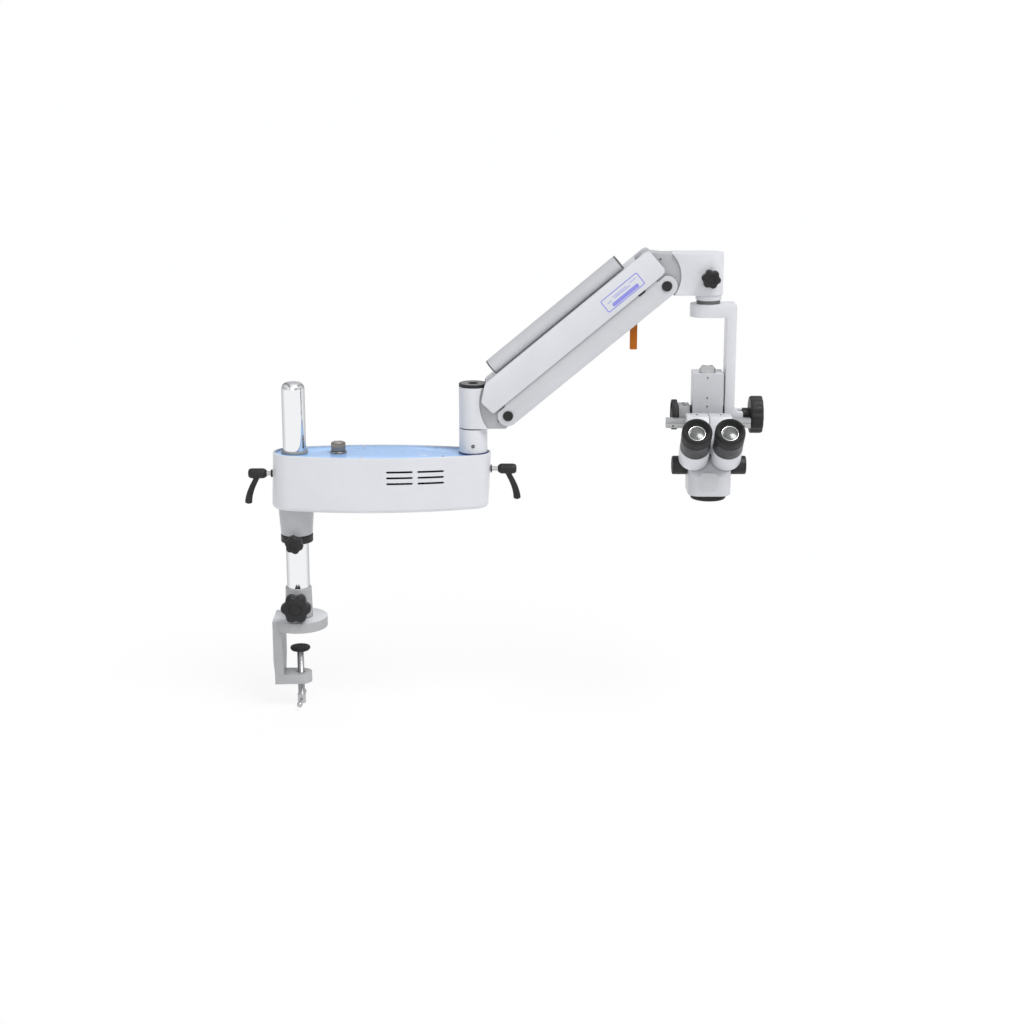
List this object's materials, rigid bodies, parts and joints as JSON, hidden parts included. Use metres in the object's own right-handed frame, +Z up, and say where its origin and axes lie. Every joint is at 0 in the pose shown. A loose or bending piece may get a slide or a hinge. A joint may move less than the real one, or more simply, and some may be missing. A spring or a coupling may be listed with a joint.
{
  "type": "surgical microscope",
  "caption": "Table-clamped surgical microscope: column, lamp housing, balanced parallelogram arm and tilting binocular head with focus, magnification and eye-spacing adjustment.",
  "frame": {"origin": "column axis at the underside of the clamp's flange, where it rests on the table", "axes": "+Z up the column, +X along the lamp housing towards the arm, eyepieces towards -Y"},
  "size_m": [0.9124, 0.2223, 0.823],
  "materials": {
    "cast_paint": "satin light grey paint over cast aluminium",
    "sheet_paint": "satin light grey paint over sheet steel",
    "blue_paint": "satin light blue paint",
    "cast_grey": "satin mid grey paint over cast aluminium",
    "black_plastic": "matte black",
    "black_rubber": "matte black",
    "chrome": "polished",
    "steel": "brushed",
    "bare_aluminium": "satin bare metal",
    "orange_paint": "satin orange-brown paint",
    "glass": "polished, coated"
  },
  "bodies": {
    "clamp": {"clamp_frame": "cast_grey", "column_socket": "cast_grey", "column": "chrome"},
    "socket_knob": {"socket_knob": "black_plastic"},
    "clamp_pad": {"clamp_pad": "black_plastic"},
    "clamp_screw": {"clamp_screw": "steel"},
    "tommy_bar": {"tommy_bar": "steel"},
    "stop_collar": {"stop_collar": "black_plastic"},
    "collar_knob": {"collar_knob": "black_plastic"},
    "housing": {"housing_shell": "cast_paint", "swivel_boss": "cast_grey", "top_cover": "blue_paint", "column_ring": "black_plastic", "post_ring": "black_plastic", "post_base": "cast_paint", "lamp_module": "bare_aluminium"},
    "brightness_knob": {"brightness_knob": "bare_aluminium"},
    "left_lever": {"left_lever": "black_plastic"},
    "right_lever": {"right_lever": "black_plastic"},
    "arm_post": {"arm_post": "cast_paint", "post_cap": "black_plastic", "thrust_washer": "black_plastic", "post_spindle": "steel"},
    "upper_link": {"upper_cover": "sheet_paint", "upper_left_pin": "steel", "upper_right_pin": "steel", "spring_tube": "sheet_paint", "left_tube_cap": "black_plastic", "right_tube_cap": "black_plastic", "tube_saddle": "sheet_paint", "balance_spring": "steel"},
    "lower_link": {"lower_link": "sheet_paint", "lower_left_pin": "black_plastic", "lower_right_pin": "black_plastic"},
    "lock_lever": {"lock_lever": "orange_paint"},
    "head_block": {"head_block": "cast_paint"},
    "head_knob": {"head_knob": "black_plastic"},
    "yoke": {"yoke": "cast_paint", "swivel_ring": "cast_paint", "swivel_spindle": "steel"},
    "tilt_knob": {"tilt_knob": "black_plastic"},
    "carriage": {"tilt_shaft": "steel", "focus_housing": "cast_paint", "handle_rail": "bare_aluminium", "left_bearing_block": "cast_grey", "left_friction_washer": "black_plastic", "right_friction_washer": "black_plastic"},
    "focus_wheel": {"focus_wheel": "black_plastic"},
    "scope": {"focus_slide": "bare_aluminium", "scope_body": "cast_paint", "objective_ring": "black_plastic", "objective_lens": "glass"},
    "zoom_knobs": {"zoom_knobs": "black_plastic"},
    "left_eye": {"left_eye_tube": "cast_paint"},
    "right_eye": {"right_eye_tube": "cast_paint"},
    "left_eyepiece": {"left_eyepiece": "black_rubber", "left_eye_lens": "glass"},
    "right_eyepiece": {"right_eyepiece": "black_rubber", "right_eye_lens": "glass"}
  },
  "joints": [
    {"name": "socket_knob_turn", "type": "hinge", "parent": "clamp", "child": "socket_knob", "pos_m": [0, -0.05, 0.047], "axis": [0, 1, 0], "range_deg": [-180, 180]},
    {"name": "pad_travel", "type": "slide", "parent": "clamp", "child": "clamp_pad", "axis": [0, 0, 1], "range_m": [-0.02, 0.02]},
    {"name": "screw_turn", "type": "hinge", "parent": "clamp_pad", "child": "clamp_screw", "pos_m": [0, 0, -0.09], "axis": [0, 0, 1], "range_deg": [-3600, 3600]},
    {"name": "bar_slide", "type": "slide", "parent": "clamp_screw", "child": "tommy_bar", "axis": [0, 1, 0], "range_m": [-0.023, 0.023]},
    {"name": "collar_height", "type": "slide", "parent": "clamp", "child": "stop_collar", "axis": [0, 0, 1], "range_m": [-0.07, 0.1]},
    {"name": "collar_knob_turn", "type": "hinge", "parent": "stop_collar", "child": "collar_knob", "pos_m": [0, -0.045, 0.16435], "axis": [0, 1, 0], "range_deg": [-180, 180]},
    {"name": "housing_swivel", "type": "hinge", "parent": "stop_collar", "child": "housing", "pos_m": [0, 0, 0.25], "axis": [0, 0, 1], "range_deg": [-170, 170]},
    {"name": "brightness_turn", "type": "hinge", "parent": "housing", "child": "brightness_knob", "pos_m": [0.077, 0, 0.32], "axis": [0, 0, 1], "range_deg": [-135, 135]},
    {"name": "left_lever_turn", "type": "hinge", "parent": "housing", "child": "left_lever", "pos_m": [-0.06, 0, 0.281], "axis": [1, 0, 0], "range_deg": [-60, 60]},
    {"name": "right_lever_turn", "type": "hinge", "parent": "housing", "child": "right_lever", "pos_m": [0.37, 0, 0.2897], "axis": [1, 0, 0], "range_deg": [-60, 60]},
    {"name": "arm_swing", "type": "hinge", "parent": "housing", "child": "arm_post", "pos_m": [0.3142, 0, 0.4], "axis": [0, 0, 1], "range_deg": [-120, 120]},
    {"name": "arm_lift", "type": "hinge", "parent": "arm_post", "child": "upper_link", "pos_m": [0.34575, 0, 0.42494], "axis": [0, 1, 0], "range_deg": [-5.5, 62]},
    {"name": "lower_follow", "type": "hinge", "parent": "arm_post", "child": "lower_link", "pos_m": [0.3752, 0, 0.3896], "axis": [0, 1, 0], "range_deg": [-5.5, 62]},
    {"name": "head_level", "type": "hinge", "parent": "upper_link", "child": "head_block", "pos_m": [0.61727, 0, 0.65116], "axis": [0, 1, 0], "range_deg": [-62, 5.5]},
    {"name": "lock_lever_turn", "type": "hinge", "parent": "lower_link", "child": "lock_lever", "pos_m": [0.5925, 0, 0.57065], "axis": [0, 1, 0], "range_deg": [-12, 12]},
    {"name": "head_knob_turn", "type": "hinge", "parent": "head_block", "child": "head_knob", "pos_m": [0.7205, -0.03, 0.6298], "axis": [0, 1, 0], "range_deg": [-180, 180]},
    {"name": "head_swivel", "type": "hinge", "parent": "head_block", "child": "yoke", "pos_m": [0.7205, 0, 0.6], "axis": [0, 0, 1], "range_deg": [-170, 170]},
    {"name": "tilt_knob_turn", "type": "hinge", "parent": "yoke", "child": "tilt_knob", "pos_m": [0.8, 0, 0.387], "axis": [1, 0, 0], "range_deg": [-180, 180]},
    {"name": "head_tilt", "type": "hinge", "parent": "yoke", "child": "carriage", "pos_m": [0.7205, 0, 0.387], "axis": [1, 0, 0], "range_deg": [-30, 22]},
    {"name": "focus_wheel_turn", "type": "hinge", "parent": "carriage", "child": "focus_wheel", "pos_m": [0.665, 0, 0.387], "axis": [1, 0, 0], "range_deg": [-191, 144]},
    {"name": "focus_travel", "type": "slide", "parent": "carriage", "child": "scope", "axis": [0, 0, 1], "range_m": [-0.02, 0.015]},
    {"name": "zoom_turn", "type": "hinge", "parent": "scope", "child": "zoom_knobs", "pos_m": [0.7205, -0.077, 0.3145], "axis": [1, 0, 0], "continuous": true},
    {"name": "left_eye_shift", "type": "slide", "parent": "scope", "child": "left_eye", "axis": [-1, 0, 0], "range_m": [0, 0.008]},
    {"name": "right_eye_shift", "type": "slide", "parent": "scope", "child": "right_eye", "axis": [1, 0, 0], "range_m": [0, 0.008]},
    {"name": "left_dioptre_turn", "type": "hinge", "parent": "left_eye", "child": "left_eyepiece", "pos_m": [0.6927, -0.15, 0.391], "axis": [0, -0.7071, 0.7071], "range_deg": [-60, 60]},
    {"name": "right_dioptre_turn", "type": "hinge", "parent": "right_eye", "child": "right_eyepiece", "pos_m": [0.7483, -0.15, 0.391], "axis": [0, -0.7071, 0.7071], "range_deg": [-60, 60]}
  ],
  "couplings": [
    {"joint": "screw_turn", "follows": "pad_travel", "rad_per_m": 3141.6},
    {"joint": "lower_follow", "follows": "arm_lift", "ratio": 1},
    {"joint": "head_level", "follows": "arm_lift", "ratio": -1},
    {"joint": "focus_wheel_turn", "follows": "focus_travel", "rad_per_m": 166.67},
    {"joint": "right_eye_shift", "follows": "left_eye_shift", "ratio": 1}
  ]
}
